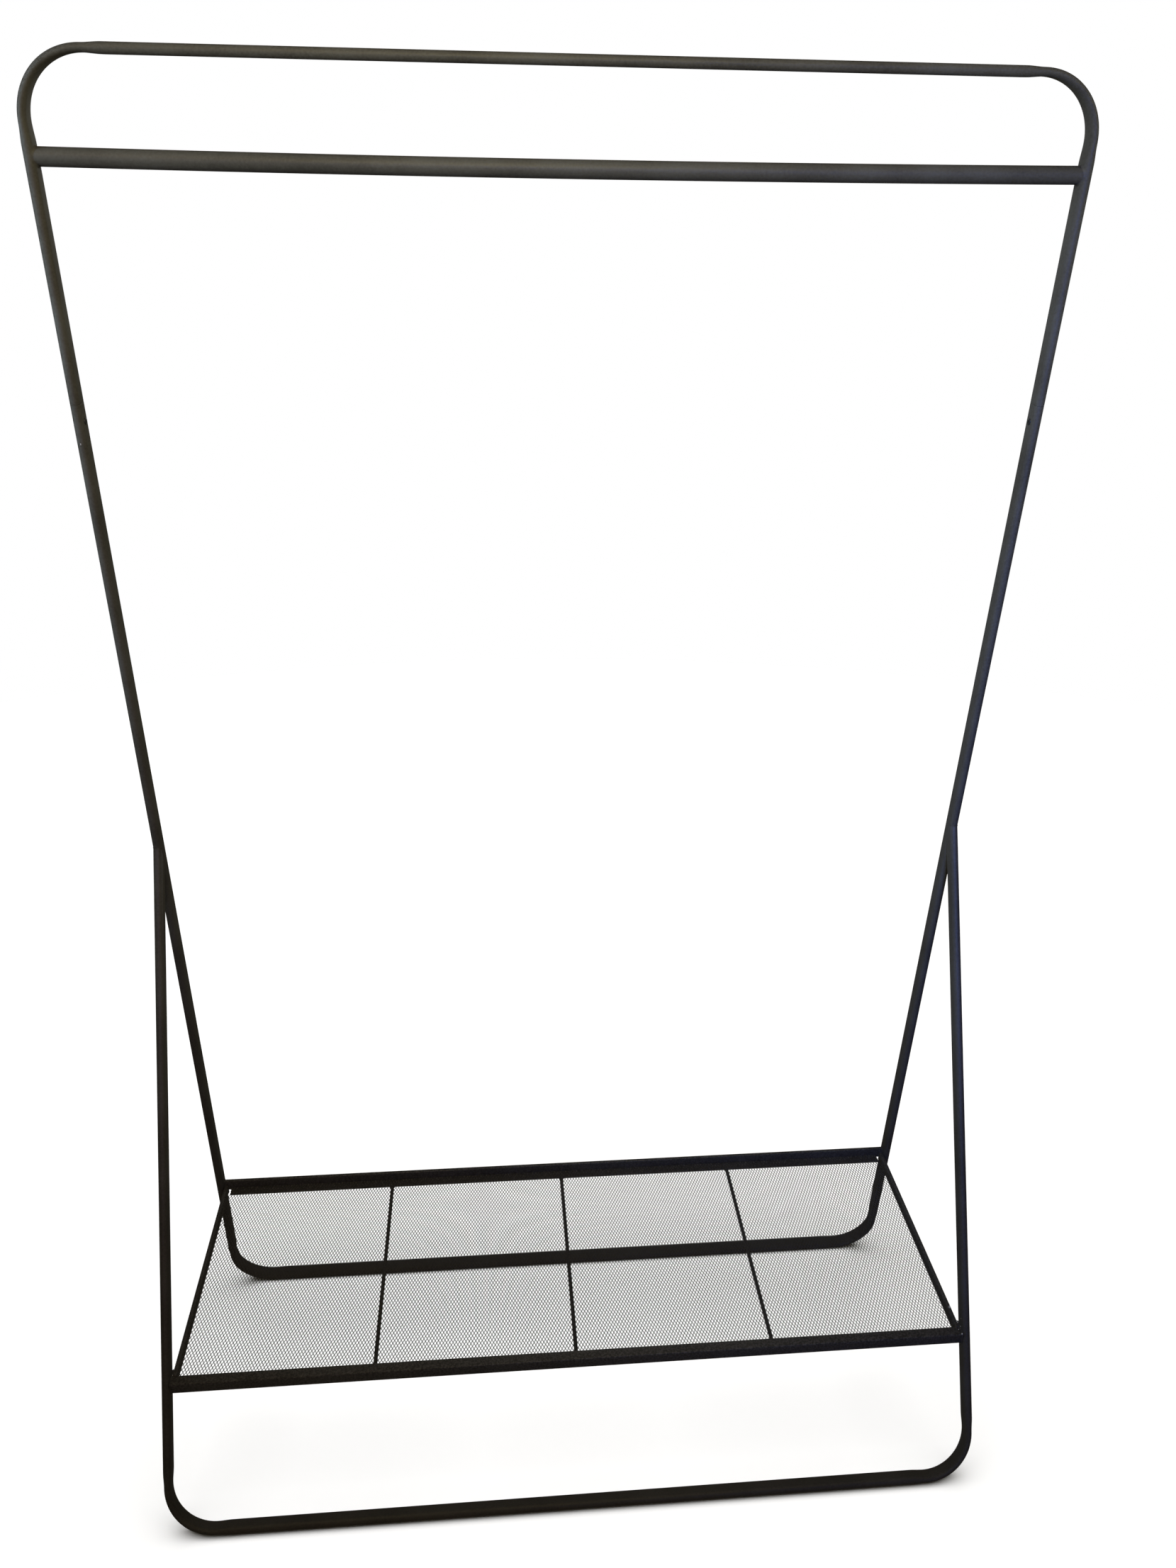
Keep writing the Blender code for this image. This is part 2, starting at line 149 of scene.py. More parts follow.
def powder_coat(name, low, high, rough, warm=0.06, peel=0.20, edge_highlight=0.0):
    """Satin powder coat: fine orange peel, faint mottling, dust in the pores, and, when the last argument is set,
    convex edges painted paler as a painted highlight.
    """
    made, tree, bsdf = shader(name)
    place = tree.nodes.new("ShaderNodeTexCoord").outputs["Object"]
    broad = noise_node(tree, place, 14.0, 3.0)
    fine = noise_node(tree, place, 420.0, 4.0, 0.6)
    grain = noise_node(tree, place, 1500.0, 2.0, 0.5)
    mixed = tree.nodes.new("ShaderNodeMath")
    mixed.operation = "MULTIPLY_ADD"
    mixed.inputs[1].default_value = 0.45
    tree.links.new(fine.outputs["Fac"], mixed.inputs[0])
    half = tree.nodes.new("ShaderNodeMath")
    half.operation = "MULTIPLY"
    half.inputs[1].default_value = 0.55
    tree.links.new(broad.outputs["Fac"], half.inputs[0])
    tree.links.new(half.outputs[0], mixed.inputs[2])
    colour = ramp(
        tree,
        mixed.outputs[0],
        [(0.36, grey(low, warm)), (0.50, grey((low + high) / 2, warm)), (0.66, grey(high, warm * 0.6))],
    )
    shade = colour.outputs["Color"]
    if edge_highlight:
        # Convex edges are painted a little paler, in patches: a painted highlight where the rounded edges catch
        # the light.
        edge = ramp(
            tree,
            tree.nodes.new("ShaderNodeNewGeometry").outputs["Pointiness"],
            [(0.52, (0, 0, 0, 1)), (0.60, (1, 1, 1, 1))],
        )
        patch = ramp(tree, fine.outputs["Fac"], [(0.42, (0, 0, 0, 1)), (0.62, (edge_highlight, edge_highlight, edge_highlight, 1))])
        edge_highlight_mask = tree.nodes.new("ShaderNodeMath")
        edge_highlight_mask.operation = "MULTIPLY"
        tree.links.new(edge.outputs["Color"], edge_highlight_mask.inputs[0])
        tree.links.new(patch.outputs["Color"], edge_highlight_mask.inputs[1])
        painted_edge_highlight = tree.nodes.new("ShaderNodeMix")
        painted_edge_highlight.data_type = "RGBA"
        tree.links.new(edge_highlight_mask.outputs[0], painted_edge_highlight.inputs["Factor"])
        tree.links.new(shade, painted_edge_highlight.inputs["A"])
        painted_edge_highlight.inputs["B"].default_value = (0.16, 0.15, 0.14, 1.0)
        shade = painted_edge_highlight.outputs["Result"]
    tree.links.new(shade, bsdf.inputs["Base Color"])
    dull = spread(tree, mixed.outputs[0], rough - 0.07, rough + 0.09)
    tree.links.new(dull.outputs["Result"], bsdf.inputs["Roughness"])
    height = tree.nodes.new("ShaderNodeMath")
    height.operation = "MULTIPLY_ADD"
    height.inputs[1].default_value = 0.35
    tree.links.new(grain.outputs["Fac"], height.inputs[0])
    tree.links.new(fine.outputs["Fac"], height.inputs[2])
    bump = tree.nodes.new("ShaderNodeBump")
    bump.inputs["Strength"].default_value = peel
    bump.inputs["Distance"].default_value = 0.0004
    tree.links.new(height.outputs[0], bump.inputs["Height"])
    tree.links.new(bump.outputs["Normal"], bsdf.inputs["Normal"])
    bsdf.inputs["IOR"].default_value = 1.45
    return made


def plain_metal(name, low, high, rough, metallic):
    """Bare or blackened steel with fine drawn lines along the shank."""
    made, tree, bsdf = shader(name)
    place = tree.nodes.new("ShaderNodeTexCoord").outputs["Object"]
    stretch_by = tree.nodes.new("ShaderNodeMapping")
    stretch_by.inputs["Scale"].default_value = (60.0, 900.0, 900.0)
    tree.links.new(place, stretch_by.inputs["Vector"])
    lines = noise_node(tree, stretch_by.outputs["Vector"], 1.0, 3.0, 0.6)
    colour = ramp(tree, lines.outputs["Fac"], [(0.3, grey(low)), (0.7, grey(high))])
    tree.links.new(colour.outputs["Color"], bsdf.inputs["Base Color"])
    dull = spread(tree, lines.outputs["Fac"], rough - 0.08, rough + 0.1)
    tree.links.new(dull.outputs["Result"], bsdf.inputs["Roughness"])
    bump = tree.nodes.new("ShaderNodeBump")
    bump.inputs["Strength"].default_value = 0.2
    bump.inputs["Distance"].default_value = 0.0002
    tree.links.new(lines.outputs["Fac"], bump.inputs["Height"])
    tree.links.new(bump.outputs["Normal"], bsdf.inputs["Normal"])
    bsdf.inputs["Metallic"].default_value = metallic
    return made


FRAME_COAT = powder_coat("frame_powder_coat", 0.026, 0.052, 0.57, 0.13)
RAIL_COAT = powder_coat("rail_powder_coat", 0.026, 0.050, 0.54, 0.12)
# The shelf coat's last argument turns on the painted edge highlight along its convex edges.
SHELF_COAT = powder_coat("shelf_powder_coat", 0.020, 0.040, 0.56, 0.10, 0.20, 0.7)
MESH_COAT = powder_coat("mesh_powder_coat", 0.022, 0.042, 0.55, 0.05, 0.10)
WELD_COAT = powder_coat("weld_powder_coat", 0.024, 0.048, 0.52, 0.12, 0.30)
SPATTER_COAT = plain_metal("weld_spatter_metal", 0.55, 0.85, 0.28, 0.6)
SCREW_COAT = plain_metal("screw_black_steel", 0.035, 0.070, 0.36, 0.7)
STEEL = plain_metal("spigot_steel", 0.28, 0.42, 0.38, 1.0)


# ------------------------------------------------------------------ mesh helpers
def new_piece(name, verts, faces, coat, nodes=(), sharp=32):
    mesh = bpy.data.meshes.new(name)
    mesh.from_pydata([tuple(v) for v in verts], [], faces)
    mesh.validate()
    mesh.materials.append(coat)
    mesh.shade_smooth()
    mesh.set_sharp_from_angle(angle=math.radians(sharp))
    made = bpy.data.objects.new(name, mesh)
    bpy.context.scene.collection.objects.link(made)
    outward(made)
    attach(made, "root")
    if nodes:
        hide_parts(*nodes)
    return made


def outward(made):
    import bmesh

    bm = bmesh.new()
    bm.from_mesh(made.data)
    bmesh.ops.remove_doubles(bm, verts=bm.verts, dist=1e-6)
    bmesh.ops.recalc_face_normals(bm, faces=bm.faces)
    bm.to_mesh(made.data)
    bm.free()


class Build:
    """Collects closed shells into one mesh."""

    def __init__(self):
        self.verts, self.faces = [], []

    def rings(self, rings, closed=False, caps=True):
        base, n = len(self.verts), len(rings[0])
        for ring in rings:
            self.verts += ring
        count = len(rings)
        for i in range(count if closed else count - 1):
            a, b = base + i * n, base + ((i + 1) % count) * n
            for k in range(n):
                j = (k + 1) % n
                self.faces.append((a + k, a + j, b + j, b + k))
        if caps and not closed:
            for start, ring in ((base, rings[0]), (base + (count - 1) * n, rings[-1])):
                middle = sum(ring, Vector()) / n
                self.verts.append(middle)
                c = len(self.verts) - 1
                for k in range(n):
                    self.faces.append((start + k, start + (k + 1) % n, c))

    def piece(self, name, coat, nodes=(), sharp=32):
        return new_piece(name, self.verts, self.faces, coat, nodes, sharp)


def oval(radius, flat, steps=14):
    arc = [math.pi * k / steps for k in range(steps + 1)]
    right = [(radius * math.cos(a), flat + radius * math.sin(a)) for a in arc]
    left = [(radius * math.cos(a), -flat - radius * math.sin(a)) for a in reversed(arc)]
    return right + left


def circle(radius, count):
    turn = [2 * math.pi * k / count for k in range(count)]
    return [(radius * math.cos(a), radius * math.sin(a)) for a in turn]


def smooth(t):
    t = max(0.0, min(1.0, t))
    return t * t * (3 - 2 * t)


def trail(parts):
    """Stations (x, s, out x, out s, squeeze) along lines and arcs of a loop."""
    made = []
    for k, part in enumerate(parts):
        if part[0] == "line":
            _, (x0, s0), (x1, s1), (ox, os) = part
            length = math.hypot(x1 - x0, s1 - s0)
            before = k > 0 and parts[k - 1][0] == "arc"
            after = k + 1 < len(parts) and parts[k + 1][0] == "arc"
            marks = {0.0, 0.0015, 0.004, length - 0.004, length - 0.0015, length}
            marks |= {length * j / 24 for j in range(1, 24)}
            if before:
                marks = {d for d in marks if not 0.0 < d < EASE} | {EASE * j / 8 for j in range(9)}
            if after:
                marks = {d for d in marks if not length - EASE < d < length}
                marks |= {length - EASE * j / 8 for j in range(9)}
            for d in sorted(marks):
                near = 1.0
                if before:
                    near = min(near, smooth(d / EASE))
                if after:
                    near = min(near, smooth((length - d) / EASE))
                squeeze = SQUEEZE + (1 - SQUEEZE) * near
                t = d / length
                made.append((x0 + (x1 - x0) * t, s0 + (s1 - s0) * t, ox, os, squeeze))
        else:
            _, (cx, cs), radius, start, end = part
            steps = 40
            for j in range(1, steps):
                a = start + (end - start) * j / steps
                c, s = math.cos(a), math.sin(a)
                made.append((cx + radius * c, cs + radius * s, c, s, SQUEEZE))
    return made


def loop_rings(origin, up, across, stations, outline):
    rings = []
    for x, s, ox, os, squeeze in stations:
        place, out = origin + X * x + up * s, X * ox + up * os
        rings.append([place + out * (p * squeeze) + across * q for p, q in outline])
    return rings


def bead(build, path, radius, closed=True, sides=10, ripple=0.16, pitch=0.0022, flat=1.0):
    """A weld bead along path: a small round ridge with the ripple a weld leaves."""
    n = len(path)
    rings, run = [], 0.0
    last = None
    for i in range(n):
        nxt = path[(i + 1) % n] if closed or i < n - 1 else path[i]
        prv = path[i - 1] if closed or i > 0 else path[i]
        along = (nxt - prv).normalized()
        if last is None:
            side = along.orthogonal().normalized()
        else:
            side = (last - along * last.dot(along)).normalized()
        last = side
        other = along.cross(side)
        run += (path[i] - path[i - 1]).length if i else 0.0
        swell = 1 + ripple * math.sin(2 * math.pi * run / pitch)
        swell += 0.22 * noise.noise(path[i] * 260.0)
        if not closed:
            edge = min(i, n - 1 - i) / 3.0
            swell *= math.sqrt(max(0.05, min(1.0, edge)))
        r = radius * swell
        ring = []
        for k in range(sides):
            a = 2 * math.pi * k / sides
            ring.append(path[i] + side * (r * math.cos(a)) + other * (r * flat * math.sin(a)))
        rings.append(ring)
    build.rings(rings, closed=closed)


def resample(path, step, closed):
    points = path + [path[0]] if closed else path
    lengths = [0.0]
    for a, b in zip(points, points[1:]):
        lengths.append(lengths[-1] + (b - a).length)
    count = max(4, int(lengths[-1] / step))
    made, k = [], 0
    for i in range(count if closed else count + 1):
        d = lengths[-1] * i / count
        while k < len(lengths) - 2 and lengths[k + 1] < d:
            k += 1
        span = lengths[k + 1] - lengths[k]
        t = (d - lengths[k]) / span if span else 0.0
        made.append(points[k].lerp(points[k + 1], t))
    return made


def rounded(corners, radii, steps=5):
    """A closed outline with each corner turned to an arc."""
    n = len(corners)
    made = []
    for k in range(n):
        p = Vector(corners[k]).to_2d()
        a = (Vector(corners[k - 1]).to_2d() - p)
        b = (Vector(corners[(k + 1) % n]).to_2d() - p)
        ua, ub = a.normalized(), b.normalized()
        r = radii[k]
        if r <= 0:
            made.append(tuple(p))
            continue
        half = math.acos(max(-1, min(1, ua.dot(ub)))) / 2
        cut = r / math.tan(half)
        middle = p + (ua + ub).normalized() * (r / math.sin(half))
        start, end = p + ua * cut - middle, p + ub * cut - middle
        turn = math.atan2(start.x * end.y - start.y * end.x, start.dot(end))
        for j in range(steps + 1):
            t = turn * j / steps
            c, s = math.cos(t), math.sin(t)
            made.append((middle.x + start.x * c - start.y * s, middle.y + start.x * s + start.y * c))
    return made


def shelf_point(x, v, w):
    return SHELF_O + X * x + SHELF_V * v + SHELF_W * w


def shelf_bar(build, outline, low_x, high_x, soften=0.0004):
    """A bar along X with slightly softened ends."""
    cx = sum(p for p, _ in outline) / len(outline)
    cy = sum(q for _, q in outline) / len(outline)
    rings = []
    for x, inset in ((low_x, soften), (low_x + soften, 0), (high_x - soften, 0), (high_x, soften)):
        ring = []
        for p, q in outline:
            d = math.hypot(p - cx, q - cy)
            f = 1 - (inset * 0.6) / d if d > 1e-9 else 1
            ring.append(shelf_point(x, cx + (p - cx) * f, cy + (q - cy) * f))
        rings.append(ring)
    build.rings(rings)


# ------------------------------------------------------------------ frame tubes
SECTION = oval(THIN_R, FLAT)
Q = math.pi / 2
GAP = 0.00012
top_x, top_s = AXIS_X - TOP_BEND_R, LOOP_LENGTH - TOP_BEND_R
low_x = AXIS_X - FLOOR_BEND_R


def tube_end(stations, at_start):
    """A cut end with its edge broken: two extra stations that draw in slightly."""
    end = stations[0] if at_start else stations[-1]
    x, s, ox, os, _ = end
    inner = (x, s, ox, os, 0.93)
    x2, s2 = x, s + (0.0005 if at_start else 0.0005)
    return inner, (x2, s2, ox, os, 1.0)


hoop = trail(
    [
        ("line", (-AXIS_X, SEAM_AT + GAP), (-AXIS_X, top_s), (-1, 0)),
        ("arc", (-top_x, top_s), TOP_BEND_R, math.pi, Q),
        ("line", (-top_x, LOOP_LENGTH), (top_x, LOOP_LENGTH), (0, 1)),
        ("arc", (top_x, top_s), TOP_BEND_R, Q, 0.0),
        ("line", (AXIS_X, top_s), (AXIS_X, SEAM_AT + GAP), (1, 0)),
    ]
)
# Broken edge at both open ends.
hoop = (
    [(-AXIS_X, SEAM_AT + GAP, -1, 0, 0.975), (-AXIS_X, SEAM_AT + GAP + 0.0003, -1, 0, 1.0)]
    + hoop[1:-1]
    + [(AXIS_X, SEAM_AT + GAP + 0.0003, 1, 0, 1.0), (AXIS_X, SEAM_AT + GAP, 1, 0, 0.975)]
)
build = Build()
build.rings(loop_rings(REAR_O, REAR_U, REAR_N, hoop, SECTION))
build.piece("upper_hoop_tube", FRAME_COAT, ["upper_hoop"])


def lower_trail(top):
    return trail(
        [
            ("line", (-AXIS_X, top), (-AXIS_X, FLOOR_BEND_R), (-1, 0)),
            ("arc", (-low_x, FLOOR_BEND_R), FLOOR_BEND_R, math.pi, 3 * Q),
            ("line", (-low_x, 0.0), (low_x, 0.0), (0, -1)),
            ("arc", (low_x, FLOOR_BEND_R), FLOOR_BEND_R, -Q, 0.0),
            ("line", (AXIS_X, FLOOR_BEND_R), (AXIS_X, top), (1, 0)),
        ]
    )


rear = lower_trail(SEAM_AT - GAP)
rear = (
    [(-AXIS_X, SEAM_AT - GAP, -1, 0, 0.975), (-AXIS_X, SEAM_AT - GAP - 0.0003, -1, 0, 1.0)]
    + rear[1:-1]
    + [(AXIS_X, SEAM_AT - GAP - 0.0003, 1, 0, 1.0), (AXIS_X, SEAM_AT - GAP, 1, 0, 0.975)]
)
build = Build()
build.rings(loop_rings(REAR_O, REAR_U, REAR_N, rear, SECTION))
build.piece("lower_rear_tube", FRAME_COAT, ["lower_rear_loop"])

# The front legs end where each line of the section runs into the upright's round front.
across = FRONT_U.dot(REAR_N)


def cope_at(p, q, sink=0.0):
    reach = FLAT + math.sqrt(max(0.0, THIN_R**2 - p * p))
    start = (FRONT_O + FRONT_N * q - REAR_O).dot(REAR_N)
    return (-reach + sink - start) / across


legs = lower_trail(0.60)
rings = loop_rings(FRONT_O, FRONT_U, FRONT_N, legs, SECTION)


def coped(side, sink):
    ring = []
    for p, q in SECTION:
        x = side * (AXIS_X + p)
        ring.append(FRONT_O + X * x + FRONT_N * q + FRONT_U * cope_at(p, q, sink))
    return ring


rings = [coped(-1, 0.0004)] + rings + [coped(1, 0.0004)]
build = Build()
build.rings(rings)
build.piece("front_leg_tube", FRAME_COAT, ["front_leg_frame"])

# ------------------------------------------------------------------ hanging rail
def rail_place(x):
    t = x / AXIS_X
    place = REAR_O + REAR_U * RAIL_AT + X * x
    return place - Vector((0, 0, RAIL_BOW * (1 - t * t)))


def side_depth(n):
    over = abs(n) - FLAT
    return THIN_R if over <= 0 else math.sqrt(max(0.0, THIN_R**2 - over * over))


ROUND = circle(RAIL_R, 48)
rings = []
xs = [-1] + [-0.97 + 1.94 * k / 48 for k in range(49)] + [1]
for k, t in enumerate(xs):
    ring = []
    for a, b in ROUND:
        off = Vector((0, b, a))
        if k in (0, len(xs) - 1):
            x = math.copysign(AXIS_X - side_depth(off.dot(REAR_N)) + 0.0003, t)
        else:
            x = t * AXIS_X
        ring.append(rail_place(x) + off)
    rings.append(ring)
build = Build()
build.rings(rings)
build.piece("hanging_rail_tube", RAIL_COAT, ["hanging_rail"])

# ------------------------------------------------------------------ shelf bars
rail_x = INNER_X - 0.0001
side_in = INNER_X - 0.0003 - SIDE_T
front_outline = rounded(
    [
        (0.0, 0.0),
        (ANGLE_DEEP, 0.0),
        (ANGLE_DEEP, -ANGLE_T),
        (ANGLE_T, -ANGLE_T),
        (ANGLE_T, -ANGLE_TALL),
        (0.0, -ANGLE_TALL),
    ],
    [0.0014, 0.0008, 0.0005, 0.0012, 0.0005, 0.0008],
)
build = Build()
shelf_bar(build, front_outline, -rail_x, rail_x)
build.piece("shelf_front_angle", SHELF_COAT, ["shelf_front_rail"])

back_face = SHELF_REAR - BACK_T
flange_v = back_face - BACK_FLANGE
build = Build()
upstand = rounded(
    [
        (back_face, BACK_UP),
        (SHELF_REAR, BACK_UP),
        (SHELF_REAR, -BACK_DOWN),
        (back_face, -BACK_DOWN),
    ],
    [0.0009, 0.0012, 0.0012, 0.0004],
)
shelf_bar(build, upstand, -rail_x, rail_x)
flange = rounded(
    [
        (flange_v, -BACK_DOWN + BACK_FLANGE_T),
        (back_face + 0.001, -BACK_DOWN + BACK_FLANGE_T),
        (back_face + 0.001, -BACK_DOWN),
        (flange_v, -BACK_DOWN),
    ],
    [0.0006, 0.0, 0.0, 0.0006],
)
shelf_bar(build, flange, -BACK_FLANGE_X, BACK_FLANGE_X)
build.piece("shelf_back_angle", SHELF_COAT, ["shelf_back_rail"])

for side, sign in (("left", -1), ("right", 1)):
    # A flat bar on edge: its section lies in x and w, and it runs along v.
    inner, outer = side_in, INNER_X - 0.0003
    outline = rounded(
        [(inner, 0.0), (outer, 0.0), (outer, -SIDE_TALL), (inner, -SIDE_TALL)], [0.0008] * 4, 4
    )
    build = Build()
    rings = []
    for v in (ANGLE_DEEP - 0.0006, ANGLE_DEEP, back_face, back_face + 0.0006):
        rings.append([shelf_point(sign * x, v, w) for x, w in outline])
    build.rings(rings)
    build.piece(
        "shelf_side_bar_" + side, SHELF_COAT, ["shelf_side_rail_" + side]
    )

mesh_low = MESH_TOP - 0.0006
for side, x in zip(("left", "centre", "right"), CROSS_X):
    build = Build()
    rings = []
    for k in range(33):
        v = ANGLE_T + (flange_v + 0.0002 - ANGLE_T) * k / 32
        sway = 0.00015 * math.sin(5.0 * v / 0.3 + x * 9)
        w = mesh_low - CROSS_R - 0.0001
        rings.append([shelf_point(x + sway + a, v, w + b) for a, b in circle(CROSS_R, 20)])
    build.rings(rings)
    build.piece("shelf_rod_" + side, SHELF_COAT, ["shelf_cross_bar_" + side])

# ------------------------------------------------------------------ expanded metal
# Two families of slanting strands cross at every bond and leave diamonds between them.
mesh_x = side_in - 0.0002
v_front, v_rear = ANGLE_T + 0.0015, back_face - 0.0002
STRAND_W, STRAND_T = 0.00050, 0.00030


def clip(p, d, low, high):
    """The stretch of the line p + t d inside the rectangle, or None."""
    t0, t1 = -1e9, 1e9
    for k in range(2):
        a, b = (low[k] - p[k]) / d[k], (high[k] - p[k]) / d[k]
        t0, t1 = max(t0, min(a, b)), min(t1, max(a, b))
    return (t0, t1) if t1 - t0 > 0.0006 else None


build = Build()
slope = Vector((MESH_SHORT, MESH_LONG)).normalized()
for family in (1, -1):
    d = Vector((slope.x * family, slope.y))
    side = Vector((-d.y, d.x)) * (STRAND_W / 2)
    # x / short - family * v / long is a whole number on each strand.
    reach = mesh_x / MESH_SHORT
    depth = v_rear / MESH_LONG
    lift = 0.00004 * family
    for n in range(int(-reach - depth) - 2, int(reach + depth) + 3):
        p = Vector(((n + 0.25) * MESH_SHORT, 0.0))
        for low, high in (
            ((-mesh_x, v_front), (mesh_x, flange_v)),
            ((-BACK_FLANGE_X, flange_v), (BACK_FLANGE_X, v_rear)),
        ):
            found = clip(p, d, low, high)
            if not found:
                continue
            rings = []
            for t in found:
                c = p + d * t
                # The strand leans a little, as the slitting tool leaves it.
                tilt = 0.00012 * family
                ring = []
                for s, w, shift in ((1, 0, tilt), (-1, 0, tilt), (-1, -1, -tilt), (1, -1, -tilt)):
                    q = c + side * s + side.normalized() * shift
                    ring.append(shelf_point(q.x, q.y, MESH_TOP + lift + STRAND_T * w))
                rings.append(ring)
            build.rings(rings)
mesh_piece = build.piece("shelf_expanded_metal", MESH_COAT, ["shelf_mesh"], 30)

# ------------------------------------------------------------------ welds
build = Build()
FILLET = 0.0017
for sign in (-1, 1):
    # A ground fillet round each end of the hanging rail, hollow from the rail to the hoop.
    rings = []
    for k in range(72):
        a = 2 * math.pi * k / 72
        out = Vector((0, math.sin(a), math.cos(a)))
        lean = out.dot(REAR_N)
        size = FILLET * (1 - 0.45 * lean**4) * (1 + 0.10 * noise.noise(out * 5.0 + X * sign))
        section = []
        for j in range(7):
            t = j / 6
            section.append((RAIL_R + size * t - 0.0001 * (1 - t), size * (1 - t) ** 2))
        section += [(RAIL_R + size, -0.0006), (RAIL_R - 0.0004, -0.0006), (RAIL_R - 0.0004, size)]
        ring = []
        for r, h in section:
            depth = side_depth(min(abs(r * lean), 0.0096))
            ring.append(rail_place(sign * (AXIS_X - depth - h)) + out * r)
        rings.append(ring)
    build.rings(rings, closed=True)
    # Round the front legs' coped ends, dressed nearly flush, and full in the crotch.
    path = coped(sign, 0.0)
    path = [v + (v - sum(path, Vector()) / len(path)).normalized() * -0.0004 for v in path]
    bead(build, resample(path, 0.0007, True), 0.00055, ripple=0.06)
    rings = []
    for k in range(13):
        p = (k / 6 - 1) * 0.0042
        nose = FLAT + math.sqrt(THIN_R**2 - p * p)
        apex = FRONT_O + X * (sign * AXIS_X + p) + FRONT_N * nose + FRONT_U * cope_at(p, nose)
        deep = 0.0085 * math.sqrt(1 - (p / 0.0046) ** 2)
        on_leg = apex - FRONT_U * deep - FRONT_N * 0.0003
        on_post = apex - REAR_U * deep + REAR_N * 0.0003
        middle = apex - (FRONT_U + REAR_U) * (deep * 0.36)
        ring = [apex + (FRONT_U + REAR_U) * 0.0006]
        for j in range(9):
            t = j / 8
            ring.append(on_leg * (1 - t) ** 2 + middle * (2 * t * (1 - t)) + on_post * t**2)
        rings.append(ring)
    build.rings(rings)
build.piece("frame_welds", WELD_COAT, sharp=60)

build = Build()
for sign in (-1, 1):
    # Front rail's end against the leg, all round its outline where the leg backs it.
    end = [shelf_point(sign * (INNER_X - 0.0004), v, w) for v, w in front_outline]
    bead(build, resample(end, 0.0007, True), 0.0010)
    # Side bar against the leg, along its top edge and its lower edge.
    for w in (0.0, -SIDE_TALL):
        run = [shelf_point(sign * (INNER_X + 0.0001), v, w) for v in (0.004, 0.0215)]
        bead(build, resample(run, 0.0006, False), 0.0012, closed=False)
    # Side bar to front rail, across the top.
    run = [shelf_point(sign * x, ANGLE_DEEP, 0.0) for x in (side_in, INNER_X - 0.0006)]
    bead(build, resample(run, 0.0005, False), 0.0010, closed=False, flat=0.6)
    # Back rail's end against the upright, and the small round in the notch.
    up = [shelf_point(sign * (INNER_X - 0.0004), v, w) for v, w in upstand]
    bead(build, resample(up, 0.0007, True), 0.0008, ripple=0.10)
    run = [shelf_point(sign * x, back_face, -BACK_DOWN) for x in (BACK_FLANGE_X, side_in)]
    bead(build, resample(run, 0.0005, False), 0.0007, closed=False)
    run = [shelf_point(sign * side_in, back_face, w) for w in (-0.001, -SIDE_TALL)]
    bead(build, resample(run, 0.0006, False), 0.0007, closed=False)
for x in CROSS_X:
    for v in (ANGLE_T + 0.0002, flange_v - 0.0002):
        w = mesh_low - CROSS_R - 0.0001
        path = [shelf_point(x + a, v, w + b) for a, b in circle(CROSS_R + 0.0002, 24)]
        bead(build, resample(path, 0.0006, True), 0.0007)
build.piece("shelf_welds", WELD_COAT, sharp=60)


def pip(build, centre, radius, squash=1.0):
    rings = []
    for i in range(1, 8):
        a = math.pi * i / 8
        rings.append(
            [
                centre
                + Vector(
                    (
                        radius * math.sin(a) * math.cos(2 * math.pi * k / 12),
                        radius * math.sin(a) * math.sin(2 * math.pi * k / 12),
                        radius * squash * math.cos(a),
                    )
                )
                for k in range(12)
            ]
        )
    build.rings(rings)


# Spatter beside the front corners' welds: beads that the coat has worn off.
build = Build()
for x, v, w, size in (
    (0.4876, 0.0412, 0.0002, 0.00120),
    (0.4884, 0.0432, 0.0002, 0.00075),
    (0.4896, 0.0200, 0.0003, 0.00115),
    (0.4897, 0.0176, 0.0004, 0.00085),
    (0.4889, 0.0010, 0.0002, 0.00105),
    (0.4868, 0.0075, 0.0002, 0.00060),
    (-0.4890, 0.0280, 0.0002, 0.00070),
    (-0.4894, 0.0130, 0.0003, 0.00060),
):
    pip(build, shelf_point(x, v, w), size)
for sign in (-1, 1):
    for k in range(5):
        place = FRONT_O + FRONT_U * random.uniform(0.160, 0.205) + X * (sign * (INNER_X + 0.0001))
        pip(build, place + FRONT_N * random.uniform(-0.0045, 0.0035), random.uniform(0.0003, 0.0006))
# A small bright metal pip on the left upright's round nose, below the seam.
bright_pip = REAR_O + X * (-AXIS_X - 0.0004) + REAR_U * 1.2970 - REAR_N * 0.00965
pip(build, bright_pip, 0.00046, 3.2)
build.piece("weld_spatter", SPATTER_COAT, sharp=60)


# ------------------------------------------------------------------ screws
def hexagon(a, apothem):
    return apothem / math.cos((a % (math.pi / 3)) - math.pi / 6)


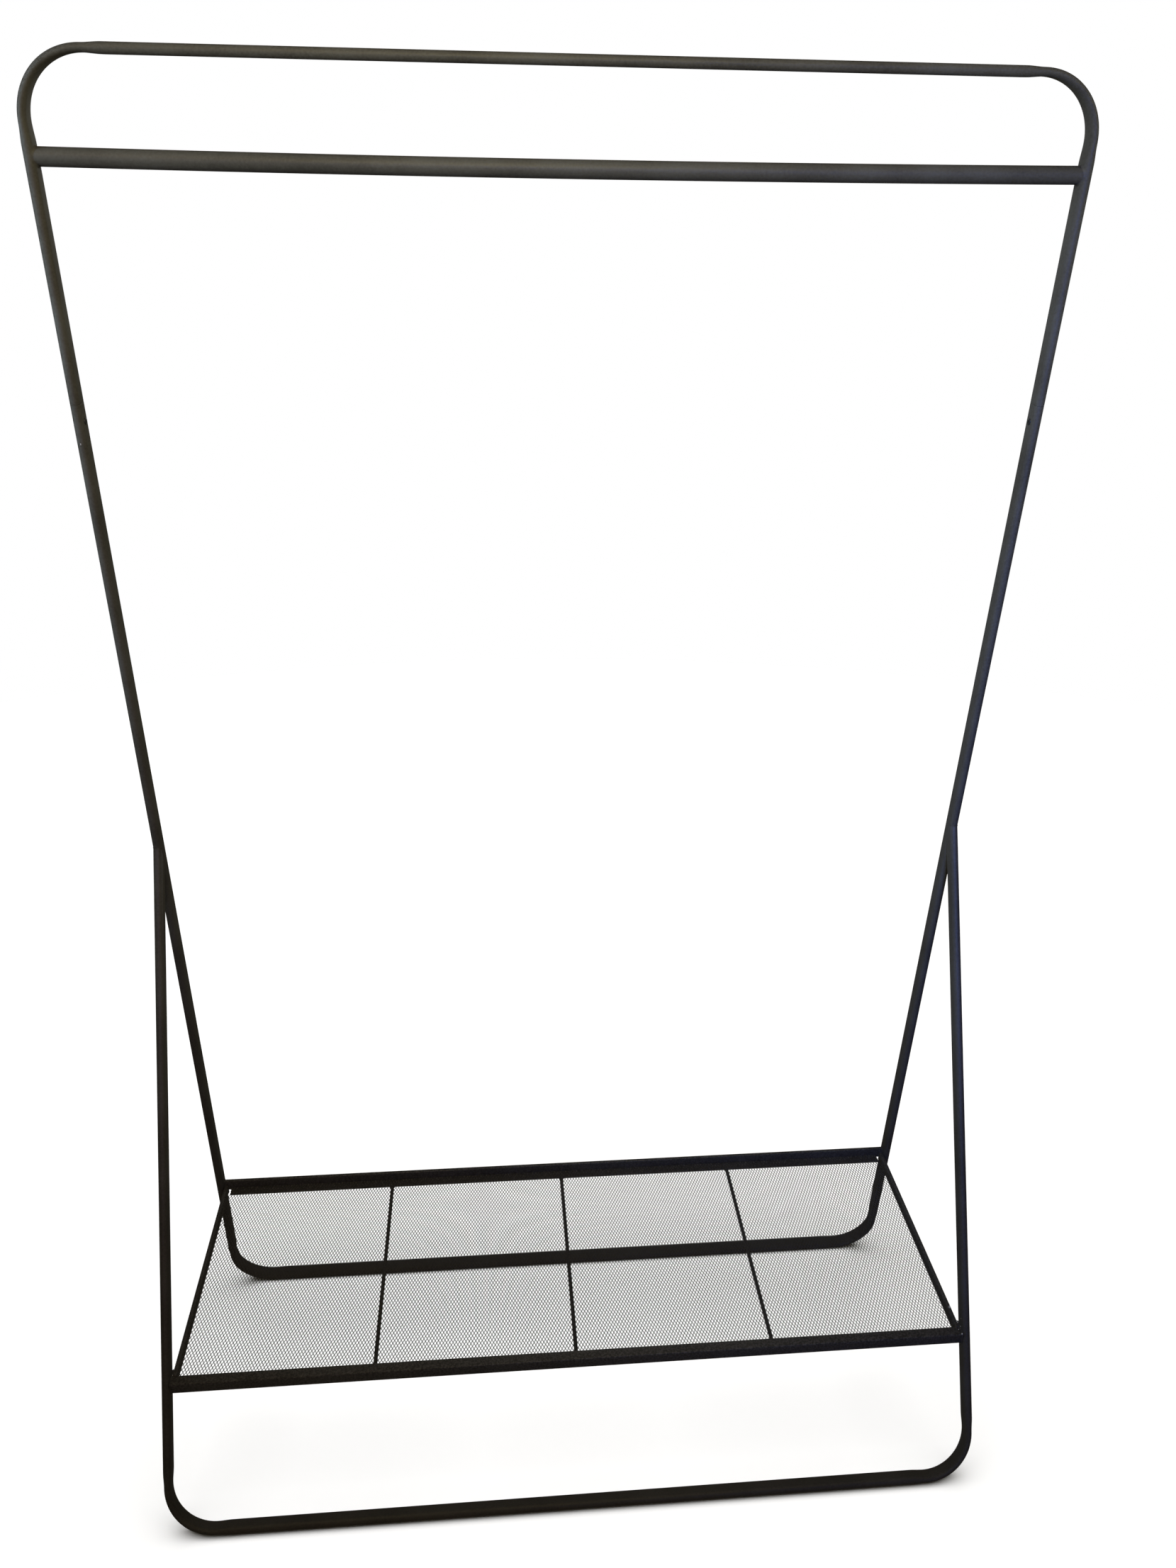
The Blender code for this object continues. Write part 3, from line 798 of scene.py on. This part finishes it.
for side, sign in (("left", -1), ("right", 1)):
    seat = REAR_O + X * (sign * INNER_X) + REAR_U * (SEAM_AT - SCREW_BELOW)
    out = X * -sign
    head, tall, count = 0.0035, 0.0013, 48
    turn = [2 * math.pi * k / count for k in range(count)]

    def ring_at(height, radius_of):
        return [
            seat + out * height + REAR_U * (radius_of(a) * math.cos(a)) + REAR_N * (radius_of(a) * math.sin(a))
            for a in turn
        ]

    rings = [ring_at(-0.0066, lambda a: 0.0004), ring_at(-0.0066, lambda a: 0.0016)]
    rings += [ring_at(-0.0060, lambda a: 0.0020), ring_at(0.00005, lambda a: 0.0020)]
    rings += [ring_at(0.00005, lambda a: head), ring_at(0.0004, lambda a: head)]
    for k in range(1, 7):
        t = Q * k / 8
        rings.append(
            ring_at(0.0004 + (tall - 0.0004) * math.sin(t), lambda a, t=t: head * math.cos(t) ** 0.75)
        )
    rings.append(ring_at(tall * 0.985, lambda a: hexagon(a, 0.00135)))
    rings.append(ring_at(tall * 0.95, lambda a: hexagon(a, 0.00118)))
    rings.append(ring_at(tall * 0.30, lambda a: hexagon(a, 0.00115)))
    rings.append(ring_at(tall * 0.24, lambda a: 0.0003))
    build = Build()
    build.rings(rings)
    build.piece("socket_screw_" + side, SCREW_COAT, ["joint_screw_" + side], 30)
    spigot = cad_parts["joint_spigot_" + side]
    if spigot.data.materials:
        spigot.data.materials[0] = STEEL
    else:
        spigot.data.materials.append(STEEL)

# ------------------------------------------------------------------ floor and backdrop
FLOOR_R = 4.0
# Lamp: name, place, aimed at, size, watts, colour, spread in degrees.
LAMPS = (
    ("upper_front", (0.0, -0.75, 1.75), (0.0, 0.2, 1.6), (0.35, 0.35), 2.3, (1.0, 0.90, 0.40), 180),
    ("wash_left", (-0.6, -1.9, 2.4), (-0.45, 0.0, 1.5), (0.9, 0.7), 1.5, (1.0, 0.70, 0.30), 75),
    ("side_left", (-2.2, -1.2, 1.9), (-0.3, -0.1, 1.2), (0.8, 1.2), 0.3, (0.7, 0.8, 1.0), 70),
    ("near_left", (-1.3, -0.7, 1.5), (0.45, 0.0, 1.2), (0.4, 0.9), 6.0, (0.70, 0.88, 1.0), 60),
    ("near_right", (1.3, -0.7, 1.6), (-0.45, 0.0, 1.4), (0.4, 0.9), 2.1, (0.94, 1.0, 0.72), 60),
    ("cool_right", (0.1, -2.2, 1.4), (0.6, 0.0, 1.0), (0.5, 0.8), 3.8, (0.10, 0.24, 1.0), 50),
    ("fill_left", (-0.1, -2.2, 1.4), (-0.6, 0.0, 1.0), (0.5, 0.8), 0.6, (0.6, 0.45, 1.0), 50),
    ("low_front", (0.0, -2.6, 0.7), (0.0, 0.0, 0.3), (1.4, 0.6), 0.16, (1.0, 0.85, 0.45), 70),
    ("above_shelf", (0.0, -0.6, 2.6), (0.0, -0.16, 0.15), (1.2, 0.4), 0.30, (1.0, 0.88, 0.66), 40),
    ("side_right", (2.3, 0.3, 1.5), (0.4, 0.0, 0.9), (0.9, 1.4), 0.9, (0.8, 0.9, 1.0), 80),
    ("back_left", (-2.4, 1.2, 1.6), (-0.4, 0.0, 1.0), (0.9, 1.4), 0.9, (0.4, 0.55, 1.0), 90),
    ("back", (0.3, 2.8, 2.2), (0.0, 0.0, 0.9), (1.8, 1.4), 2.4, (0.95, 0.97, 1.0), 120),
)

def floor_material(level):
    made, tree, bsdf = shader("pale_floor")
    place = tree.nodes.new("ShaderNodeTexCoord").outputs["Object"]
    soft = noise_node(tree, place, 1.3, 2.0)
    colour = ramp(tree, soft.outputs["Fac"], [(0.3, grey(level - 0.006)), (0.7, grey(level))])
    tree.links.new(colour.outputs["Color"], bsdf.inputs["Base Color"])
    bsdf.inputs["Roughness"].default_value = 0.9
    bsdf.inputs["Specular IOR Level"].default_value = 0.0
    return made


count, steps = 96, 12
verts, faces = [Vector((0, 0, -0.0003))], []
for i in range(1, steps + 1):
    for k in range(count):
        a = 2 * math.pi * k / count
        r = FLOOR_R * i / steps
        verts.append(Vector((r * math.cos(a), r * math.sin(a), -0.0003)))
for k in range(count):
    faces.append((0, 1 + k, 1 + (k + 1) % count))
for i in range(steps - 1):
    for k in range(count):
        a, b = 1 + i * count, 1 + (i + 1) * count
        faces.append((a + k, b + k, b + (k + 1) % count, a + (k + 1) % count))
mesh = bpy.data.meshes.new("studio_floor")
mesh.from_pydata([tuple(v) for v in verts], [], faces)
mesh.materials.append(floor_material(0.90))
floor = bpy.data.objects.new("studio_floor", mesh)
bpy.context.scene.collection.objects.link(floor)
# The coat is lit by the lamps alone, not by the white sweep it stands on.
floor.visible_glossy = False
floor.visible_diffuse = False

# ------------------------------------------------------------------ light
world = bpy.data.worlds.new("studio")
bpy.context.scene.world = world
world.use_nodes = True
tree = world.node_tree
dim = tree.nodes["Background"]
dim.inputs["Color"].default_value = (0.078, 0.068, 0.050, 1.0)
dim.inputs["Strength"].default_value = 1.0
white = tree.nodes.new("ShaderNodeBackground")
white.inputs["Color"].default_value = (1.0, 1.0, 1.0, 1.0)
white.inputs["Strength"].default_value = 1.0
seen = tree.nodes.new("ShaderNodeLightPath")
pick = tree.nodes.new("ShaderNodeMixShader")
tree.links.new(seen.outputs["Is Camera Ray"], pick.inputs[0])
tree.links.new(dim.outputs[0], pick.inputs[1])
tree.links.new(white.outputs[0], pick.inputs[2])
tree.links.new(pick.outputs[0], tree.nodes["World Output"].inputs["Surface"])

floor_lit = bpy.data.collections.new("floor_lit")
floor_lit.objects.link(floor)
object_lit = bpy.data.collections.new("object_lit")
object_lit.objects.link(floor)
object_lit.collection_objects[0].light_linking.link_state = "EXCLUDE"

sun = bpy.data.lights.new("floor_light", "SUN")
sun.energy = 3.70
sun.angle = math.radians(70)
overhead = bpy.data.objects.new("floor_light", sun)
overhead.location = (0, 0, 3)
overhead.light_linking.receiver_collection = floor_lit
# The sheet's openings let the light down to the floor, so only the tubes shade it.
shades = bpy.data.collections.new("shades")
shades.objects.link(mesh_piece)
shades.collection_objects[0].light_linking.link_state = "EXCLUDE"
overhead.light_linking.blocker_collection = shades
bpy.context.scene.collection.objects.link(overhead)


def lamp(name, place, target, size, power, colour=(1, 1, 1), spread=180):
    data = bpy.data.lights.new(name, "AREA")
    data.shape = "RECTANGLE"
    data.size, data.size_y = size
    data.energy = power
    data.color = colour
    data.spread = math.radians(spread)
    made = bpy.data.objects.new(name, data)
    made.location = place
    made.rotation_euler = (Vector(target) - Vector(place)).to_track_quat("-Z", "Y").to_euler()
    bpy.context.scene.collection.objects.link(made)
    made.light_linking.receiver_collection = object_lit
    made.visible_camera = False
    # Seen along the rails, the lamps at the sides would glare off every pore of the coat.
    made.visible_glossy = not name.startswith(("near_", "side_", "back_"))


for entry in LAMPS:
    lamp(*entry)

# ------------------------------------------------------------------ camera
PHOTO_H = 2212.0
CAM = dict(x=-0.0891, y=-1.30432, z=1.3641, yaw=0.0840, pitch=0.2977, roll=-0.0053, f=1654.38, px=-2.32, py=-99.28)
yaw, pitch, roll = CAM["yaw"], CAM["pitch"], CAM["roll"]
ahead = Vector((math.sin(yaw) * math.cos(pitch), math.cos(yaw) * math.cos(pitch), -math.sin(pitch)))
right = Vector((math.cos(yaw), -math.sin(yaw), 0.0))
down = ahead.cross(right)
right, down = (
    right * math.cos(roll) + down * math.sin(roll),
    right * -math.sin(roll) + down * math.cos(roll),
)
from mathutils import Matrix

camera_data = bpy.data.cameras.new("camera")
camera_data.sensor_fit = "AUTO"
camera_data.sensor_width = 36.0
camera_data.lens = CAM["f"] / PHOTO_H * 36.0
camera_data.shift_x = -CAM["px"] / PHOTO_H
camera_data.shift_y = CAM["py"] / PHOTO_H
camera_data.clip_start = 0.02
camera = bpy.data.objects.new("camera", camera_data)
turn = Matrix((right, -down, -ahead)).transposed()
camera.matrix_world = Matrix.Translation((CAM["x"], CAM["y"], CAM["z"])) @ turn.to_4x4()
bpy.context.scene.collection.objects.link(camera)
bpy.context.scene.camera = camera
bpy.context.scene.view_settings.view_transform = "Standard"
bpy.context.scene.view_settings.look = "None"

bpy.context.view_layer.update()
